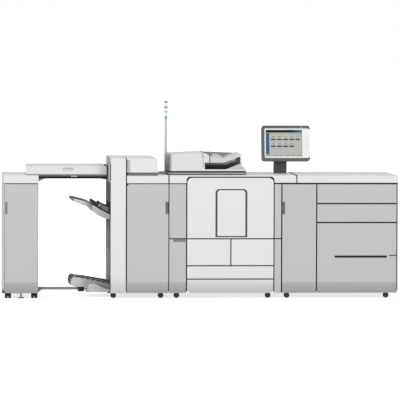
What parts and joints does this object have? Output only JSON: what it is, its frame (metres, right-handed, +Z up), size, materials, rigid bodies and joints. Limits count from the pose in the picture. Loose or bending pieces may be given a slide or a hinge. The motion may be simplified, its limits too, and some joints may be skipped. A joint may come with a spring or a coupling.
{
  "type": "digital production printer",
  "caption": "Modular sheet-fed production printer in a row: end cabinet, paper bridge, booklet finisher, engine with scanner and touch screen, and paper deck.",
  "frame": {"origin": "bottom centre of the bounding box, on the floor", "axes": "+X to the right along the row of modules seen from the front, +Y to the rear, +Z up"},
  "size_m": [3.344, 0.78, 1.655],
  "materials": {
    "white_panels": "satin moulded covers",
    "grey_panels": "satin grey panels",
    "mid_grey": "satin mid grey",
    "tray_grey": "satin light grey trays",
    "dark_plastic": "fine-textured dark grey",
    "black_rubber": "matt black tread",
    "steel": "zinc-plated sheet",
    "sheet_brackets": "powder-coated light grey",
    "drum_coating": "glossy green photo layer",
    "fuser_sleeve": "brown release coating",
    "roller_rubber": "matt silicone",
    "toner_black": "satin black",
    "platen_glass": "clear float glass",
    "tower_grey": "satin grey",
    "tower_lamps": "clear and green lenses",
    "screen_bezel": "satin white bezel round a lit display",
    "caster_black": "black"
  },
  "bodies": {
    "machine": {"end_carcass": "grey_panels", "end_top_cap": "white_panels", "bridge_guide": "dark_plastic", "span_frame": "sheet_brackets", "finisher_carcass": "grey_panels", "finisher_column": "white_panels", "finisher_top": "white_panels", "booklet_tray": "tray_grey", "booklet_belt": "dark_plastic", "engine_carcass": "grey_panels", "engine_frame": "steel", "engine_top_cover": "white_panels", "fuser_housing": "dark_plastic", "scanner_base": "grey_panels", "platen_glass": "platen_glass", "tower_pole": "tower_grey", "tower_lamps": "tower_lamps", "screen_stand": "dark_plastic", "deck_carcass": "grey_panels", "deck_top_cover": "white_panels", "hinge_brackets": "steel", "caster_forks": "caster_black", "levelling_feet": "caster_black"},
    "end_door": {"end_door": "grey_panels"},
    "bridge_cover": {"bridge_cover": "white_panels"},
    "inserter_cover": {"inserter_cover": "white_panels"},
    "finisher_door": {"finisher_door": "grey_panels"},
    "stack_tray": {"stack_tray": "mid_grey"},
    "tray_extension": {"tray_extension": "dark_plastic"},
    "stapler_unit": {"stapler_unit": "mid_grey"},
    "upper_left_door": {"upper_left_door": "grey_panels"},
    "lower_left_door": {"lower_left_door": "grey_panels"},
    "left_deck": {"left_deck": "white_panels"},
    "right_deck": {"right_deck": "white_panels"},
    "upper_cassette": {"upper_cassette": "white_panels"},
    "lower_cassette": {"lower_cassette": "white_panels"},
    "photo_drum": {"photo_drum": "drum_coating"},
    "fuser_roller": {"fuser_roller": "fuser_sleeve"},
    "pressure_roller": {"pressure_roller": "roller_rubber"},
    "toner_bottle": {"toner_bottle": "toner_black"},
    "feeder_cover": {"feeder_cover": "white_panels"},
    "screen_arm": {"screen_arm": "dark_plastic"},
    "deck_door": {"deck_door": "grey_panels"},
    "upper_deck_drawer": {"upper_deck_drawer": "grey_panels"},
    "middle_deck_drawer": {"middle_deck_drawer": "grey_panels"},
    "lower_deck_drawer": {"lower_deck_drawer": "grey_panels"},
    "end_wheels_front": {"end_wheels_front": "black_rubber"},
    "end_wheels_rear": {"end_wheels_rear": "black_rubber"},
    "finisher_wheels_left": {"finisher_wheels_left": "black_rubber"},
    "finisher_wheels_right": {"finisher_wheels_right": "black_rubber"},
    "engine_wheels_left": {"engine_wheels_left": "black_rubber"},
    "engine_wheels_right": {"engine_wheels_right": "black_rubber"},
    "deck_wheels_left": {"deck_wheels_left": "black_rubber"},
    "deck_wheels_right": {"deck_wheels_right": "black_rubber"},
    "front_door": {"front_door": "white_panels", "window_frame": "dark_plastic"},
    "feeder": {"feeder_body": "white_panels", "feeder_tray": "tray_grey"},
    "screen_head": {"screen_frame": "dark_plastic", "touch_screen": "screen_bezel"}
  },
  "joints": [
    {"name": "end_door_hinge", "type": "hinge", "parent": "machine", "child": "end_door", "pos_m": [-1.397, -0.375, 0.51], "axis": [0, 0, 1], "range_deg": [0, 95]},
    {"name": "finisher_door_hinge", "type": "hinge", "parent": "machine", "child": "finisher_door", "pos_m": [-0.63, -0.375, 0.51], "axis": [0, 0, -1], "range_deg": [0, 95]},
    {"name": "upper_left_door_hinge", "type": "hinge", "parent": "machine", "child": "upper_left_door", "pos_m": [-0.27, -0.375, 0.74], "axis": [0, 0, -1], "range_deg": [0, 95]},
    {"name": "lower_left_door_hinge", "type": "hinge", "parent": "machine", "child": "lower_left_door", "pos_m": [-0.27, -0.375, 0.275], "axis": [0, 0, -1], "range_deg": [0, 95]},
    {"name": "front_door_hinge", "type": "hinge", "parent": "machine", "child": "front_door", "pos_m": [-0.118, -0.381, 0.76], "axis": [0, 0, -1], "range_deg": [0, 95]},
    {"name": "deck_door_hinge", "type": "hinge", "parent": "machine", "child": "deck_door", "pos_m": [0.966, -0.375, 0.51], "axis": [0, 0, 1], "range_deg": [0, 90]},
    {"name": "left_deck_slide", "type": "slide", "parent": "machine", "child": "left_deck", "axis": [0, -1, 0], "range_m": [0, 0.45]},
    {"name": "right_deck_slide", "type": "slide", "parent": "machine", "child": "right_deck", "axis": [0, -1, 0], "range_m": [0, 0.45]},
    {"name": "upper_cassette_slide", "type": "slide", "parent": "machine", "child": "upper_cassette", "axis": [0, -1, 0], "range_m": [0, 0.45]},
    {"name": "lower_cassette_slide", "type": "slide", "parent": "machine", "child": "lower_cassette", "axis": [0, -1, 0], "range_m": [0, 0.45]},
    {"name": "upper_deck_drawer_slide", "type": "slide", "parent": "machine", "child": "upper_deck_drawer", "axis": [0, -1, 0], "range_m": [0, 0.45]},
    {"name": "middle_deck_drawer_slide", "type": "slide", "parent": "machine", "child": "middle_deck_drawer", "axis": [0, -1, 0], "range_m": [0, 0.45]},
    {"name": "lower_deck_drawer_slide", "type": "slide", "parent": "machine", "child": "lower_deck_drawer", "axis": [0, -1, 0], "range_m": [0, 0.45]},
    {"name": "bridge_cover_hinge", "type": "hinge", "parent": "machine", "child": "bridge_cover", "pos_m": [-1.1515, 0.258, 1.058], "axis": [-1, 0, 0], "range_deg": [0, 60]},
    {"name": "inserter_hinge", "type": "hinge", "parent": "machine", "child": "inserter_cover", "pos_m": [-0.507, 0.362, 1.072], "axis": [-1, 0, 0], "range_deg": [0, 60]},
    {"name": "stack_tray_lift", "type": "slide", "parent": "machine", "child": "stack_tray", "axis": [0, 0, 1], "range_m": [-0.25, 0.015]},
    {"name": "tray_extension_slide", "type": "slide", "parent": "stack_tray", "child": "tray_extension", "axis": [-0.9563, 0, 0.2924], "range_m": [0, 0.035]},
    {"name": "stapler_slide", "type": "slide", "parent": "machine", "child": "stapler_unit", "axis": [0, 1, 0], "range_m": [-0.15, 0.15]},
    {"name": "drum_spin", "type": "hinge", "parent": "machine", "child": "photo_drum", "pos_m": [0.33, 0, 0.72], "axis": [0, 1, 0], "continuous": true},
    {"name": "fuser_spin", "type": "hinge", "parent": "machine", "child": "fuser_roller", "pos_m": [0.09, 0, 0.742], "axis": [0, 1, 0], "continuous": true},
    {"name": "pressure_spin", "type": "hinge", "parent": "machine", "child": "pressure_roller", "pos_m": [0.09, 0, 0.6657], "axis": [0, 1, 0], "continuous": true},
    {"name": "toner_spin", "type": "hinge", "parent": "machine", "child": "toner_bottle", "pos_m": [0.43, 0, 0.88], "axis": [0, 1, 0], "continuous": true},
    {"name": "feeder_hinge", "type": "hinge", "parent": "machine", "child": "feeder", "pos_m": [0.05, 0.216, 1.0873], "axis": [-1, 0, 0], "range_deg": [0, 70]},
    {"name": "feeder_cover_hinge", "type": "hinge", "parent": "feeder", "child": "feeder_cover", "pos_m": [-0.221, 0, 1.2063], "axis": [0, -1, 0], "range_deg": [0, 60]},
    {"name": "screen_swivel", "type": "hinge", "parent": "machine", "child": "screen_arm", "pos_m": [0.708, 0.12, 1.046], "axis": [0, 0, 1], "range_deg": [-30, 30]},
    {"name": "screen_tilt", "type": "hinge", "parent": "screen_arm", "child": "screen_head", "pos_m": [0.708, 0.07, 1.298], "axis": [-1, 0, 0], "range_deg": [-8, 20]},
    {"name": "finisher_wheels_left_roll", "type": "hinge", "parent": "machine", "child": "finisher_wheels_left", "pos_m": [-0.747, 0, 0.024], "axis": [0, 1, 0], "continuous": true},
    {"name": "finisher_wheels_right_roll", "type": "hinge", "parent": "machine", "child": "finisher_wheels_right", "pos_m": [-0.345, 0, 0.024], "axis": [0, 1, 0], "continuous": true},
    {"name": "engine_wheels_left_roll", "type": "hinge", "parent": "machine", "child": "engine_wheels_left", "pos_m": [-0.21, 0, 0.024], "axis": [0, 1, 0], "continuous": true},
    {"name": "engine_wheels_right_roll", "type": "hinge", "parent": "machine", "child": "engine_wheels_right", "pos_m": [0.568, 0, 0.024], "axis": [0, 1, 0], "continuous": true},
    {"name": "deck_wheels_left_roll", "type": "hinge", "parent": "machine", "child": "deck_wheels_left", "pos_m": [0.729, 0, 0.024], "axis": [0, 1, 0], "continuous": true},
    {"name": "deck_wheels_right_roll", "type": "hinge", "parent": "machine", "child": "deck_wheels_right", "pos_m": [1.576, 0, 0.024], "axis": [0, 1, 0], "continuous": true},
    {"name": "end_wheels_front_roll", "type": "hinge", "parent": "machine", "child": "end_wheels_front", "pos_m": [-1.5285, -0.304, 0.024], "axis": [1, 0, 0], "continuous": true},
    {"name": "end_wheels_rear_roll", "type": "hinge", "parent": "machine", "child": "end_wheels_rear", "pos_m": [-1.5285, 0.346, 0.024], "axis": [1, 0, 0], "continuous": true}
  ],
  "couplings": [
    {"joint": "pressure_spin", "follows": "fuser_spin", "ratio": -1.1111}
  ]
}
